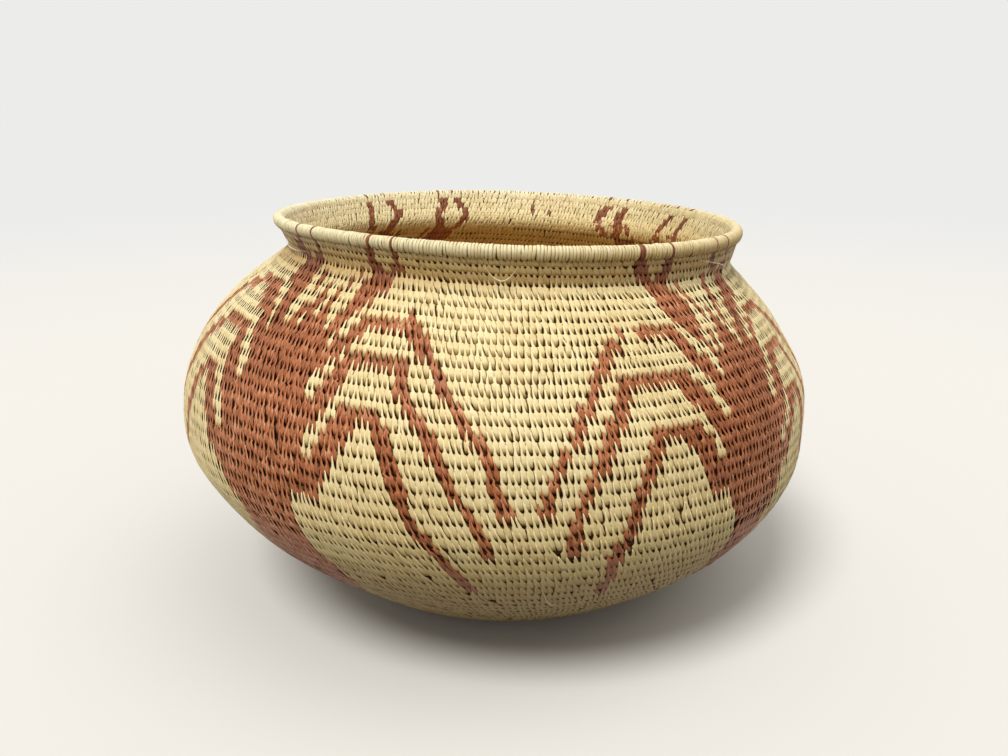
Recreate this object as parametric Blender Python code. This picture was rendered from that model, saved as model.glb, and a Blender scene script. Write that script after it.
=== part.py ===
"""A coiled basket: one long foundation coil wound outwards and upwards from a start knot.

Each full turn of the coil is its own object, and a closely bound rim coil finishes the mouth.
The model stands on its flat base, with +Z up and the origin at the middle of the base.
Sizes are in millimetres here and become metres when a mesh is written.
"""
import math

import bpy
from mathutils import Vector
from mathutils.geometry import interpolate_bezier

MM = 0.001

# The outer skin of the wall as (radius, height), from the edge of the flat base to the rim coil.
BASE_RADIUS = 32.0
LOWER_WALL = [(BASE_RADIUS, 0.0), (65.1, 9.3), (90.0, 25.4), (110.3, 43.0), (125.0, 66.2)]
BELLY = (127.0, 85.4)
SHOULDER = [(123.4, 102.8), (110.9, 122.5), (95.4, 137.7)]
NECK_FOOT = (88.9, 144.5)
NECK = [(90.0, 148.7), (91.6, 153.0)]
NECK_TOP_DIRECTION = (0.36, 0.933)

# The wall.
WALL_THICKNESS = 4.8
NECK_THICKNESS = 4.2
COURSE_ROUNDING = 0.9
ROUNDING_COURSES = 2.0
MESH_GAP = 0.34

# Courses are counted from the start knot. The coil is a little coarser up to the belly than above it.
START_COURSE = 0.5
LOWER_PITCH = 4.92
BELLY_COURSE = 34.0
BODY_COURSES = 51.0
TURNS = 53
LAST_TURN_TIP = 0.3
NECK_TOP_COURSE = TURNS + 0.5 + LAST_TURN_TIP

# Names of the zones, each with the last turn that belongs to it.
ZONES = [("base_turn", 9), ("lower_wall_turn", 34), ("shoulder_turn", 50), ("neck_turn", TURNS)]

# The rim: a round coil on a narrow foot, and its binding, which is open below for that foot.
RIM_RADIUS = 90.7
RIM_HEIGHT = 156.4
RIM_BINDING_RADIUS = 2.6
RIM_BINDING_THICKNESS = 0.6
RIM_COIL_RADIUS = RIM_BINDING_RADIUS - RIM_BINDING_THICKNESS - MESH_GAP
BINDING_OPENING_HALF_ANGLE = math.radians(32.0)
FOOT_HALF_WIDTH = 0.7
FOOT_REACH = 2.75

# The basket isn't quite true: the belly sits to one side, the neck to the other, and the courses dip.
# Each row is a share of the height, the shift there, and the dip there as a slope.
HEIGHT = RIM_HEIGHT + RIM_BINDING_RADIUS
LEANS = [
    (0.0, 0.0, 0.0),
    (0.15, 0.0, 0.018),
    (0.3, -2.5, 0.032),
    (0.5, -4.0, 0.028),
    (0.7, -1.9, 0.040),
    (0.9, 2.4, 0.052),
    (1.0, 1.6, 0.037),
]

# Every turn starts and ends at the back.
TURN_START = math.radians(90.0)
STEPS_PER_TURN = 24
PROFILE_SAMPLES = 13
RIM_SIDES = 7
BINDING_SPANS = 7

FIBRE_COLOUR = (0.78, 0.67, 0.44, 1.0)
BUNDLE_COLOUR = (0.62, 0.50, 0.30, 1.0)
FIBRE_ROUGHNESS = 0.75


def clear_scene():
    for obj in list(bpy.data.objects):
        bpy.data.objects.remove(obj, do_unlink=True)


def make_material(name, colour):
    material = bpy.data.materials.new(name)
    material.use_nodes = True
    shader = material.node_tree.nodes["Principled BSDF"]
    shader.inputs["Base Color"].default_value = colour
    shader.inputs["Roughness"].default_value = FIBRE_ROUGHNESS
    shader.inputs["Metallic"].default_value = 0.0
    material.diffuse_color = colour
    return material


def knot_directions(knots):
    """A direction at each knot: level at the base's edge, along the chord of its neighbours further up."""
    directions = [Vector((1.0, 0.0))]
    for before, after in zip(knots, knots[2:]):
        directions.append((after - before).normalized())
    directions.append(Vector(NECK_TOP_DIRECTION).normalized())
    return directions


def sample_profile():
    """Points of the outer skin with the arc length of each, measured from the middle of the base."""
    knots = [Vector(knot) for knot in LOWER_WALL + [BELLY] + SHOULDER + [NECK_FOOT] + NECK]
    directions = knot_directions(knots)
    points = [knots[0]]
    arcs = [BASE_RADIUS]
    knot_arcs = [BASE_RADIUS]
    for index in range(len(knots) - 1):
        start, end = knots[index], knots[index + 1]
        reach = (end - start).length / 3.0
        handle_a = start + directions[index] * reach
        handle_b = end - directions[index + 1] * reach
        for point in interpolate_bezier(start, handle_a, handle_b, end, PROFILE_SAMPLES)[1:]:
            point = point.to_2d()
            arcs.append(arcs[-1] + (point - points[-1]).length)
            points.append(point)
        knot_arcs.append(arcs[-1])
    neck_foot_arc = knot_arcs[len(knots) - 1 - len(NECK)]
    return points, arcs, neck_foot_arc


PROFILE_POINTS, PROFILE_ARCS, NECK_FOOT_ARC = sample_profile()
NECK_TOP_ARC = PROFILE_ARCS[-1]
BELLY_ARC = BELLY_COURSE * LOWER_PITCH
UPPER_PITCH = (NECK_FOOT_ARC - BELLY_ARC) / (BODY_COURSES - BELLY_COURSE)
NECK_PITCH = (NECK_TOP_ARC - NECK_FOOT_ARC) / (NECK_TOP_COURSE - BODY_COURSES)
FLAT_COURSES = BASE_RADIUS / LOWER_PITCH


def course_arc(course):
    """Arc length from the middle of the base to a place given in courses."""
    if course <= BELLY_COURSE:
        return course * LOWER_PITCH
    if course <= BODY_COURSES:
        return BELLY_ARC + (course - BELLY_COURSE) * UPPER_PITCH
    return NECK_FOOT_ARC + (course - BODY_COURSES) * NECK_PITCH


def skin_frame(course):
    """The outer skin's point and its direction up the wall, both as (radius, height)."""
    arc = course_arc(course)
    if arc <= BASE_RADIUS:
        return Vector((arc, 0.0)), Vector((1.0, 0.0))
    index = 1
    while index < len(PROFILE_ARCS) - 1 and PROFILE_ARCS[index] < arc:
        index += 1
    low, high = PROFILE_POINTS[index - 1], PROFILE_POINTS[index]
    share = (arc - PROFILE_ARCS[index - 1]) / (PROFILE_ARCS[index] - PROFILE_ARCS[index - 1])
    return low.lerp(high, share), (high - low).normalized()


def outward(direction):
    return Vector((direction.y, -direction.x))


def wall_point(course, depth, lift=0.0):
    """A point under the skin by depth, moved up the wall by lift."""
    point, direction = skin_frame(course)
    return point - outward(direction) * depth + direction * lift


def blend(low, high, share):
    share = max(0.0, min(1.0, share))
    return low + (high - low) * share


def wall_thickness(course):
    return blend(WALL_THICKNESS, NECK_THICKNESS, course - BODY_COURSES)


def turn_section(bottom, top):
    """The six corners of the coil between two places, as (radius, height) points."""
    middle = 0.5 * (bottom + top)
    thickness = wall_thickness(middle)
    outer_inset = blend(0.0, COURSE_ROUNDING, (bottom - FLAT_COURSES) / ROUNDING_COURSES)
    inner_depth = thickness - COURSE_ROUNDING
    half_gap = 0.5 * MESH_GAP
    return [
        wall_point(bottom, outer_inset, half_gap),
        wall_point(middle, 0.0),
        wall_point(top, outer_inset, -half_gap),
        wall_point(top, inner_depth, -half_gap),
        wall_point(middle, thickness),
        wall_point(bottom, inner_depth, half_gap),
    ]


def lean_at(height):
    """The shift and the dip at a height, which change smoothly between the rows of the table."""
    level = max(0.0, min(1.0, height / HEIGHT))
    for (low, low_shift, low_dip), (high, high_shift, high_dip) in zip(LEANS, LEANS[1:]):
        if level <= high:
            break
    share = (level - low) / (high - low)
    share = share * share * (3.0 - 2.0 * share)
    return blend(low_shift, high_shift, share), blend(low_dip, high_dip, share)


def settle(x, y, z):
    """Move a point of the true shape to where the handmade basket has it."""
    shift, dip = lean_at(z)
    return Vector((x + shift, y, z - dip * x)) * MM


def around(point, azimuth):
    """A (radius, height) point turned about the basket's axis."""
    return settle(point.x * math.cos(azimuth), point.x * math.sin(azimuth), point.y)


def loft(name, sections, closed, material, collection):
    """Join sections of equal count into a tube: a ring when closed, or else with flat ends."""
    count = len(sections[0])
    vertices = [corner for section in sections for corner in section]
    spans = len(sections) if closed else len(sections) - 1
    faces = []
    for span in range(spans):
        here = span * count
        there = ((span + 1) % len(sections)) * count
        for corner in range(count):
            beside = (corner + 1) % count
            faces.append((here + corner, there + corner, there + beside, here + beside))
    if not closed:
        faces.append(tuple(range(count)))
        faces.append(tuple(reversed(range(len(vertices) - count, len(vertices)))))
    mesh = bpy.data.meshes.new(name)
    mesh.from_pydata(vertices, [], faces)
    mesh.validate()
    mesh.shade_smooth()
    mesh.set_sharp_from_angle(angle=math.radians(35.0))
    mesh.materials.append(material)
    obj = bpy.data.objects.new(name, mesh)
    collection.objects.link(obj)
    return obj


def make_turn(name, turn, material, collection):
    """One full turn of the coil, which climbs by one course on its way round."""
    radius = skin_frame(turn)[0].x
    end_gap = 0.5 * MESH_GAP / radius
    sections = []
    for step in range(STEPS_PER_TURN + 1):
        share = step / STEPS_PER_TURN
        bottom = turn - START_COURSE + share
        top = NECK_TOP_COURSE if turn == TURNS else bottom + 1.0
        azimuth = TURN_START + math.tau * share
        if step == 0:
            azimuth += end_gap
        if step == STEPS_PER_TURN:
            azimuth -= end_gap
        sections.append([around(corner, azimuth) for corner in turn_section(bottom, top)])
    return loft(name, sections, False, material, collection)


def make_start_knot(material, collection):
    """The knot that the coil starts from: an outline that winds out by one course."""
    curve = bpy.data.curves.new("start_knot", "CURVE")
    curve.dimensions = "2D"
    curve.fill_mode = "BOTH"
    curve.extrude = 0.5 * (WALL_THICKNESS - COURSE_ROUNDING) * MM
    outline = []
    for step in range(STEPS_PER_TURN + 1):
        share = step / STEPS_PER_TURN
        radius = course_arc(START_COURSE + share) - 0.5 * MESH_GAP
        azimuth = TURN_START + math.tau * share
        if step == STEPS_PER_TURN:
            azimuth -= 0.5 * MESH_GAP / radius
        outline.append((radius * math.cos(azimuth), radius * math.sin(azimuth)))
    spline = curve.splines.new("POLY")
    spline.points.add(len(outline) - 1)
    for point, (x, y) in zip(spline.points, outline):
        point.co = (x * MM, y * MM, 0.0, 1.0)
    spline.use_cyclic_u = True
    curve.materials.append(material)
    obj = bpy.data.objects.new("start_knot", curve)
    obj.location.z = curve.extrude
    collection.objects.link(obj)
    return obj


def make_ring(name, section, material, collection):
    """A closed ring whose section is given as (radius, height) points."""
    sections = []
    for step in range(STEPS_PER_TURN):
        azimuth = math.tau * step / STEPS_PER_TURN
        sections.append([around(corner, azimuth) for corner in section])
    return loft(name, sections, True, material, collection)


def rim_point(along, aside):
    """A point of the rim's section, along and aside from the direction in which the neck ends."""
    direction = Vector(NECK_TOP_DIRECTION).normalized()
    return Vector((RIM_RADIUS, RIM_HEIGHT)) + direction * along + outward(direction) * aside


def rim_arc(radius, opening, spans):
    """Points round the rim's section, from one side of the opening below it to the other."""
    angles = [opening + (math.tau - 2.0 * opening) * span / spans for span in range(spans + 1)]
    return [rim_point(-radius * math.cos(angle), radius * math.sin(angle)) for angle in angles]


def make_rim(bundle, fibre, collection):
    foot = [rim_point(-FOOT_REACH, -FOOT_HALF_WIDTH), rim_point(-FOOT_REACH, FOOT_HALF_WIDTH)]
    coil = rim_arc(RIM_COIL_RADIUS, math.asin(FOOT_HALF_WIDTH / RIM_COIL_RADIUS), RIM_SIDES)
    make_ring("rim_coil", foot + coil, bundle, collection)

    outer = rim_arc(RIM_BINDING_RADIUS, BINDING_OPENING_HALF_ANGLE, BINDING_SPANS)
    inner_radius = RIM_BINDING_RADIUS - RIM_BINDING_THICKNESS
    inner = rim_arc(inner_radius, BINDING_OPENING_HALF_ANGLE, BINDING_SPANS)
    make_ring("rim_binding", outer + inner[::-1], fibre, collection)


def zone_name(turn):
    for name, last in ZONES:
        if turn <= last:
            return name
    return ZONES[-1][0]


def build():
    clear_scene()
    collection = bpy.data.collections.new("coiled_basket")
    bpy.context.scene.collection.children.link(collection)
    bundle = make_material("foundation_bundle", BUNDLE_COLOUR)
    fibre = make_material("natural_fibre", FIBRE_COLOUR)
    make_start_knot(bundle, collection)
    for turn in range(1, TURNS + 1):
        make_turn(f"{zone_name(turn)}_{turn:02d}", turn, fibre, collection)
    make_rim(bundle, fibre, collection)


build()
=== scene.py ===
"""A coiled basket sewn from split plant fibre, with four dyed many-legged figures.

Every sewing strand is a piece of geometry of its own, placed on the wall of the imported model.
Sizes are in millimetres here and become metres when a mesh is written.
A course is one row of the coil. A lift is a height over the wall's outer skin.
"""
import math

import bpy
import numpy as np
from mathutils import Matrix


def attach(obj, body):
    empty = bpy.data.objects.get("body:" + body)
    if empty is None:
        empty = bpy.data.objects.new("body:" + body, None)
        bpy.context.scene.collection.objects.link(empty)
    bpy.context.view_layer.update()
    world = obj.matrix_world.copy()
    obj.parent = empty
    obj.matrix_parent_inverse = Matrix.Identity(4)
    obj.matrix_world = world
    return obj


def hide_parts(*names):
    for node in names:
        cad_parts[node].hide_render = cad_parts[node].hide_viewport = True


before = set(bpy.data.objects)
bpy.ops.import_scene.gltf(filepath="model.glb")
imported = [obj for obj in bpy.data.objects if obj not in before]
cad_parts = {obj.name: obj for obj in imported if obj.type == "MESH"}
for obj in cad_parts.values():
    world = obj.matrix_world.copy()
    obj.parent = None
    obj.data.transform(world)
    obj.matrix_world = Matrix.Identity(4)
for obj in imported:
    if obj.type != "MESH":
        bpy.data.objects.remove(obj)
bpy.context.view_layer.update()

MM = 0.001
TAU = 2.0 * math.pi

# The wall's outer skin as (radius, height), with the same numbers as the solids.
BASE_RADIUS = 32.0
PROFILE = [
    (BASE_RADIUS, 0), (65.1, 9.3), (90, 25.4), (110.3, 43), (125, 66.2), (127, 85.4), (123.4, 102.8),
    (110.9, 122.5), (95.4, 137.7), (88.9, 144.5), (90, 148.7), (91.6, 153),
]
NECK_FOOT_KNOT = 9
NECK_TOP_DIRECTION = (0.36, 0.933)
PROFILE_SAMPLES = 24
PROFILE_EXTENSION = 4.0

WALL_THICKNESS = 4.8
NECK_THICKNESS = 4.2
START_COURSE = 0.5
LOWER_PITCH = 4.92
BELLY_COURSE = 34.0
BODY_COURSES = 51.0
TURNS = 53
NECK_TOP_COURSE = 53.8
BASE_TURNS = 9
LOWER_WALL_TURNS = 34
SHOULDER_TURNS = 50

RIM_RADIUS = 90.7
RIM_HEIGHT = 156.4
RIM_BINDING_RADIUS = 2.6

HEIGHT = RIM_HEIGHT + RIM_BINDING_RADIUS
# The wrapped roll that shows on the rim is thinner than the solid and lies in its lower part.
ROLL_HEIGHT = 156.0
ROLL_RADIUS = 91.1
ROLL_CORE_RADIUS = 1.45
# The rim hangs a little at the back left: how much, where, over how many degrees, and from what
# level over what share of the height.
SAG = 2.3
SAG_MIDDLE = 105.0
SAG_REACH = 80.0
SAG_LEVEL = 0.80
SAG_FADE = 0.15
# A distance along a row turns into an angle at this radius or further out.
SMALLEST_RADIUS = 1.5
# How far the basket is from true: a share of the height, the shift there, and the dip as a slope.
LEANS = [
    (0, 0, 0), (0.15, 0, 0.018), (0.3, -2.5, 0.032), (0.5, -4, 0.028), (0.7, -1.9, 0.04),
    (0.9, 2.4, 0.052), (1, 1.6, 0.037),
]
TURN_START = math.radians(90.0)
FRONT = math.radians(-90.0)
COLUMN_PHASE = math.radians(6.0)

# The sewing: spacings, then drifts and swings as shares of a spacing.
STITCH_PITCH = 2.0
NECK_STITCH_PITCH = 1.88
RIM_WRAP_PITCH = 1.05
FEWEST_STITCHES = 9
COLUMN_DRIFT = -0.12
NECK_DRIFT = 0.17
COLUMN_SWING = 0.10
COLUMN_SWINGS = 3.0
COLUMN_WANDER = 0.08
COLUMN_WANDER_WAVES = 5
MOST_WAVES_ROUND = 8
STEEPEST_WAVE = 0.5
LEAN_SWING = 0.15
LEAN_WAVES = 8
LEAN_PEAK = FRONT - math.radians(10.0)
LEAN_SPREAD = 0.06
UNEVENNESS = 0.13
CHOICE_RANGE = (0.6, 1.4)
EVENING_PASSES = 7
EVENING = 0.3
NECK_TURN = 51
SEED = 11
# How much the stitches differ: the toe's course, the tip's reach, the whole width and the width at
# each station, the wobble along the row, the whole lift and the lift at each station, and the roll.
TOE_SPREAD = 0.03
REACH_SPREAD = 0.05
WIDTH_SPREAD = 0.05
BULGE_SPREAD = 0.04
WOBBLE_SPREAD = 0.035
LIFT_SPREAD = 0.02
DENT_SPREAD = 0.012
ROLL_SPREAD = 0.05

# The start of the coil in the middle of the base.
KNOT_WINDINGS = 5
KNOT_START = 0.3
KNOT_PITCH = 1.4
KNOT_HALF_WIDTH = 0.58 * KNOT_PITCH
KNOT_HALF_HEIGHT = 1.95
KNOT_GRAIN = 0.34
KNOT_STEPS = 24
KNOT_CORNERS = 8
# The bundle under the stitches: points on a turn and on the rim, how far its section reaches past
# its own course and stays below the skin, and the step that gives the section's way up the wall.
BUNDLE_STEPS = 56
RIM_STEPS = 96
BUNDLE_OVERLAP = 0.15
BUNDLE_DEPTH = 1.75
BUNDLE_LEAST = 0.4
BUNDLE_STEP_UP = 0.1
BUNDLE_GRAIN = 0.3
BUNDLE_CORNERS = 6
RIM_CORNERS = 10
# A strand's cell on its piece's map: margin, size, the share of its width that the strand's sides
# take, the corners of one face there, and where the strand's ends lie beside them, and how large.
CELL_MARGIN = 0.06
CELL_SHARE = 0.88
SIDE_SHARE = 0.86
TILE_CORNERS = np.array(((0, 0), (1, 0), (1, 1), (0, 1)))
START_CENTRE = (0.935, 0.25)
END_CENTRE = (0.935, 0.75)
END_RADIUS = 0.055


def pairs(*numbers):
    """Points from the plain row of their coordinates."""
    return list(zip(numbers[::2], numbers[1::2]))


# The figures' outlines, read off the photograph. Each point is degrees from the figure's own axis
# and rows of 4.783 mm up the wall. They run from the top of the body, round the legs, to the tail.
OUTLINE_ROW = 4.783
# The outlines grow to both sides by this many degrees, up to this row.
OUTLINE_GROWTH = 0.25
OUTLINE_GROWTH_TOP = 45.0
LEFT_FIGURE_RIGHT_SIDE = pairs(
    0, 46.5, 1.4, 46.4, 1.9, 45.6, 2.6, 45.3, 2.6, 46.2, 2, 47, 2.5, 47.3, 3.6, 46.4, 4.2, 45.2,
    4.8, 44.8, 5.2, 45.2, 5.6, 46.2, 5.3, 47.2, 5.3, 48.4, 6, 49.2, 7, 50, 6.6, 50.8, 6.1, 51.6,
    7.5, 52.6, 7.8, 54.5, 9.4, 54.5, 9.2, 52.8, 9.4, 51.6, 10.6, 50.9, 12.2, 51, 13.1, 51.8, 13.2, 52.6,
    13.4, 54.5, 15, 54.5, 15, 52.4, 15.4, 51.4, 14.8, 50.9, 12.8, 50.4, 12.4, 49.6, 11.8, 49, 10.6, 48.2,
    8.9, 47.4, 7.8, 46.6, 7.5, 45.6, 7.2, 44.8, 6.9, 44.1, 7, 43.5, 8.2, 44.4, 9.4, 45.3, 10.6, 46.1,
    11.4, 46.8, 13, 47.4, 20, 47.45, 20.6, 48, 21.6, 47.6, 22.9, 46.8, 24.6, 46.1, 25.8, 45.4, 27.4, 44.8,
    28.6, 44.2, 31.9, 41.9, 35.7, 40, 38.2, 38, 40.2, 36, 41.4, 34.6, 41.6, 33.9, 40.4, 33.9, 39.5, 35,
    38.1, 37, 35.5, 39, 33.4, 40, 30.3, 42, 26.3, 44.3, 22.4, 45.5, 20.6, 46.1, 20.2, 46.45, 13.7, 46.45,
    12.9, 45.9, 11.7, 45, 10.4, 44, 9.3, 43.2, 7.5, 42, 7.5, 41, 8.5, 40.7, 9.6, 41, 10.8, 42.5,
    12.7, 44.15, 23, 44.15, 24.6, 42, 29, 40, 31.4, 38, 34, 36, 36.8, 34, 38.6, 32, 39.2, 30.9, 38, 30.9,
    37.2, 32, 35.2, 34, 32.7, 36, 29.7, 38, 26.8, 40, 24.4, 41, 22.5, 42, 22, 43.2, 14, 43.2, 13, 41.5,
    11.4, 40, 11.2, 39, 9.3, 38.5, 9.3, 37, 10, 36.5, 11.4, 37, 12.3, 38.5, 14, 39.6, 14.6, 40.55,
    21, 40.55, 23.3, 38.8, 25.2, 37.2, 26.6, 35.4, 28.3, 33.7, 30.4, 31.7, 32.5, 29.9, 34.2, 28.3,
    35.2, 26.9, 34, 26.9, 32.9, 28.3, 31.3, 29.9, 29.1, 31.7, 26.8, 33.7, 25, 35.4, 23.3, 37.2,
    20.4, 38.8, 20.2, 39.6, 17.4, 39.6, 16.8, 39, 15.2, 37, 13.5, 35.2, 12.7, 34.5, 8.8, 34.5, 8, 33,
    7.6, 31, 9.4, 29, 10.6, 27.5, 11.6, 25.8, 11, 23.6, 8, 21.4, 4, 20, 0, 19.4,
)
LEFT_FIGURE_LEFT_SIDE = pairs(
    0, 46.5, 1.9, 46.3, 1.7, 45.3, 2.6, 45.8, 3.2, 46.9, 4.6, 46.9, 5.4, 46, 4.4, 45.2, 3.8, 44.4,
    4.8, 44.9, 6.6, 46, 7.6, 46.6, 7.9, 47.4, 8.1, 48.2, 9.2, 49, 9.4, 50.2, 8.8, 51, 8.3, 51.6,
    8.1, 52.6, 7.8, 54.5, 9.4, 54.5, 9.6, 52.6, 10.4, 51.6, 12.4, 51.05, 15, 51.05, 16.4, 51.7, 16, 52.6,
    14.3, 54.5, 15.9, 54.5, 17.6, 52.7, 20.6, 51.8, 20.8, 51, 18, 50.8, 15.9, 50.2, 16.2, 49, 15.6, 48.2,
    13.4, 47.6, 12.4, 46.9, 10.8, 46, 9.2, 45.1, 7.6, 44.2, 7, 43.7, 8.6, 44.3, 10.3, 45, 12.2, 46,
    14.6, 46.9, 17, 47.6, 29.5, 47.6, 31.4, 47.1, 34.2, 46.4, 35.8, 45.4, 36.8, 44, 38.6, 42.4, 41, 40,
    43.4, 36.8, 44.2, 35, 42.8, 35, 40.6, 38, 38, 41, 36.2, 42.4, 34.6, 43.8, 33.6, 45.2, 31, 46,
    28.8, 46.1, 27.4, 46.65, 20.6, 46.65, 19.8, 46.1, 17.4, 45.6, 14.8, 45.2, 12.4, 44.6, 11.1, 43.2,
    8.1, 42.3, 8.1, 41, 9.2, 40.7, 10.4, 41, 11.2, 42.3, 13, 43, 15, 44.05, 25.4, 44.05, 28.4, 43.1,
    30.4, 42, 32, 40.4, 34, 37.4, 36.2, 34.2, 37.2, 31.6, 35.8, 31.6, 34.4, 34, 32, 37, 29.8, 40.2,
    28.4, 41.6, 25, 43.1, 15.8, 43.1, 14.6, 41, 13.5, 40, 12.1, 39, 9.2, 38, 8.6, 37, 9.8, 36.6, 10.9, 37,
    12.8, 38, 16.2, 40, 16.7, 40.2, 22, 40.2, 24, 39, 25.2, 36, 27, 32.4, 28.6, 29, 29, 27, 27.6, 27,
    25.6, 32, 23.6, 35.6, 22.2, 38.4, 20.6, 39.25, 18.6, 39.25, 16.5, 38, 14.8, 37, 12.8, 35, 12.4, 34.6,
    7.8, 34.5, 7.5, 33, 5.2, 32, 4, 31, 5, 30.5, 5.7, 29, 7.2, 25.8, 6.6, 23.2, 4, 21, 0, 19.4,
)
RIGHT_FIGURE_LEFT_SIDE = pairs(
    0, 46.8, 2, 46.9, 2.2, 46.2, 1.9, 45.2, 2.5, 45, 3.2, 46, 3.6, 46.7, 4.6, 46.7, 4.1, 45.4, 3.4, 44.3,
    3.9, 44.1, 4.9, 45.1, 5.7, 46.2, 4.9, 47.2, 5, 48, 6.2, 49, 7.5, 50, 8.5, 50.6, 8.6, 51.2, 7.7, 51.8,
    8.7, 52.6, 8.7, 54.5, 10.3, 54.5, 10.3, 52.6, 10.7, 51.5, 13.4, 51.2, 15, 51.6, 15.6, 52.6,
    16.2, 54.5, 18.4, 54.5, 18.8, 52.4, 18.6, 51.5, 16.8, 50.9, 14.8, 50.4, 13.9, 49.7, 14, 49, 12.3, 48,
    10.1, 47, 8.2, 46, 6.2, 45, 5, 44, 4.7, 42.9, 6.4, 43.1, 7.4, 44, 9, 45, 10.4, 46, 12, 47, 13.4, 47.7,
    24.2, 47.7, 25.5, 46.9, 28, 46, 29.4, 45, 31.1, 43, 34.7, 40, 36.6, 38, 38.5, 36, 38.9, 35,
    38.6, 34.1, 37.4, 34.1, 36.6, 36, 35.3, 38, 33, 40, 30.7, 41.7, 27.4, 45, 24, 46.85, 15.1, 46.85,
    14, 46, 12.6, 45, 10.9, 44, 9, 43.2, 7.7, 42.1, 6.5, 41, 6.3, 40, 7.4, 39.8, 9, 41, 10.7, 42,
    13.8, 44, 25.4, 44, 26.8, 42, 29.6, 40, 30.8, 38, 32.4, 36, 33.7, 35, 34.9, 33, 34.6, 30.7,
    33.3, 30.7, 32.9, 33, 31.9, 35, 30.1, 37, 28, 39, 25.6, 41, 24.6, 43.05, 15.8, 43.05, 13.2, 41,
    10.5, 40, 10, 39, 8.2, 38, 8, 37, 8.5, 36.1, 9.7, 37, 12, 39, 13.5, 40.1, 21.2, 40.2, 23.2, 38,
    24.7, 36, 26, 33, 27.4, 32, 28.4, 30, 28.3, 26.5, 27, 26.5, 26.4, 30, 25.1, 32, 23.5, 34, 22.8, 36,
    20.8, 38, 19.6, 39.25, 17.2, 39.25, 13.2, 37, 10.8, 35, 9.6, 34, 7, 34, 5.5, 33, 4.5, 32, 3, 30,
    3.6, 27.6, 2.4, 25.6, 1.6, 23.4, 0, 21.6,
)
RIGHT_FIGURE_RIGHT_SIDE = pairs(
    0, 46.8, 1.2, 46.8, 2.6, 46.6, 2.7, 45.6, 2.9, 44.6, 3.6, 43.9, 4.2, 44.4, 4.3, 45.6, 4.2, 46.6,
    5.2, 46, 6.2, 46.4, 6.3, 47.6, 6.9, 48.2, 7.9, 48.8, 8.8, 49.4, 10.8, 49.9, 10.6, 50.6, 8, 51,
    6.2, 51.6, 5.7, 52.4, 5.7, 54.5, 7.3, 54.5, 7.6, 52.4, 9.6, 51.6, 12.6, 51.1, 14.4, 51.6, 14.2, 52.6,
    11.5, 54.5, 13.1, 54.5, 16.2, 52.6, 16.6, 51.6, 17, 51, 15.3, 50.4, 15.2, 49.2, 14.6, 48.4, 13.2, 48,
    10.8, 47.5, 9.6, 47, 8.4, 46.4, 7.6, 45.8, 7.2, 44.8, 7, 43.3, 8.1, 44.2, 9, 45, 10.4, 45.8,
    11.9, 46.6, 13.5, 47.2, 15, 47.55, 22.4, 47.55, 24.4, 46.4, 26.4, 45, 28.4, 43.6, 29.8, 42, 31.4, 40,
    33.8, 37, 35.4, 34, 34, 34, 32.2, 36.6, 29.6, 39.8, 28, 41.8, 26.2, 43.2, 24, 44.6, 22, 46.1,
    20.8, 46.6, 14.8, 46.6, 13, 46.1, 11.6, 45.2, 10.4, 44.4, 9.5, 43.6, 9.6, 42.7, 8.5, 42, 6.5, 41,
    6.3, 40.2, 7.8, 40, 8.8, 41, 10.8, 42, 13.2, 43.45, 21.2, 43.45, 24, 41, 27.2, 37.8, 30.2, 34,
    32, 30.8, 30.6, 30.8, 28.4, 34.2, 25.4, 37.8, 22.4, 41, 20.4, 42.5, 15, 42.5, 12.3, 41, 11, 39.8,
    9.5, 38, 7.4, 37, 7.6, 36, 9, 35.7, 9.9, 37, 11.8, 38, 13, 39.7, 19.3, 39.7, 20.8, 37.6, 22.8, 34.2,
    24.8, 30.6, 26.2, 27.6, 24.9, 27.6, 22.8, 31.2, 20.6, 35, 18.6, 38.3, 17.8, 38.75, 15.6, 38.75,
    13.4, 37, 11.5, 35, 11.3, 34, 8, 33.8, 6.8, 32, 5.5, 30, 5.8, 27.4, 5, 24.6, 3, 22.6, 0, 21.6,
)
# Thin dyed marks above the bodies: half width in degrees, then the points of the line.
LEFT_FIGURE_MARKS = [
    (0.5, [(4.4, 50.8), (3.3, 49.9), (2.1, 49), (1.4, 48), (1.3, 46.6)]),
    (0.8, [(-1.8, 49), (-1.6, 48), (-1.4, 46.2)]),
    (0.45, [(-6.2, 50.6), (-5.9, 49.4), (-5.2, 48.4), (-4.6, 47.5), (-3.8, 46.6)]),
]
RIGHT_FIGURE_MARKS = [
    (0.45, [(-6.2, 50.9), (-4.8, 49.6), (-3.6, 48.6), (-2.7, 47.6)]),
    (0.9, [(-0.6, 48.7), (-0.4, 47.8), (0, 46.5)]),
    (0.55, [(4.9, 51), (4.3, 50), (4, 49), (3.3, 48), (2.6, 46.6)]),
]
FIGURES = [
    (-38.5, LEFT_FIGURE_LEFT_SIDE, LEFT_FIGURE_RIGHT_SIDE, LEFT_FIGURE_MARKS),
    (45.6, RIGHT_FIGURE_LEFT_SIDE, RIGHT_FIGURE_RIGHT_SIDE, RIGHT_FIGURE_MARKS),
    (130.5, RIGHT_FIGURE_LEFT_SIDE, LEFT_FIGURE_RIGHT_SIDE, LEFT_FIGURE_MARKS),
    (-147.5, RIGHT_FIGURE_LEFT_SIDE, LEFT_FIGURE_RIGHT_SIDE, RIGHT_FIGURE_MARKS),
]
# The places of the two figures at the back in that list.
BACK_RIGHT = 2
BACK_LEFT = 3

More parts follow.
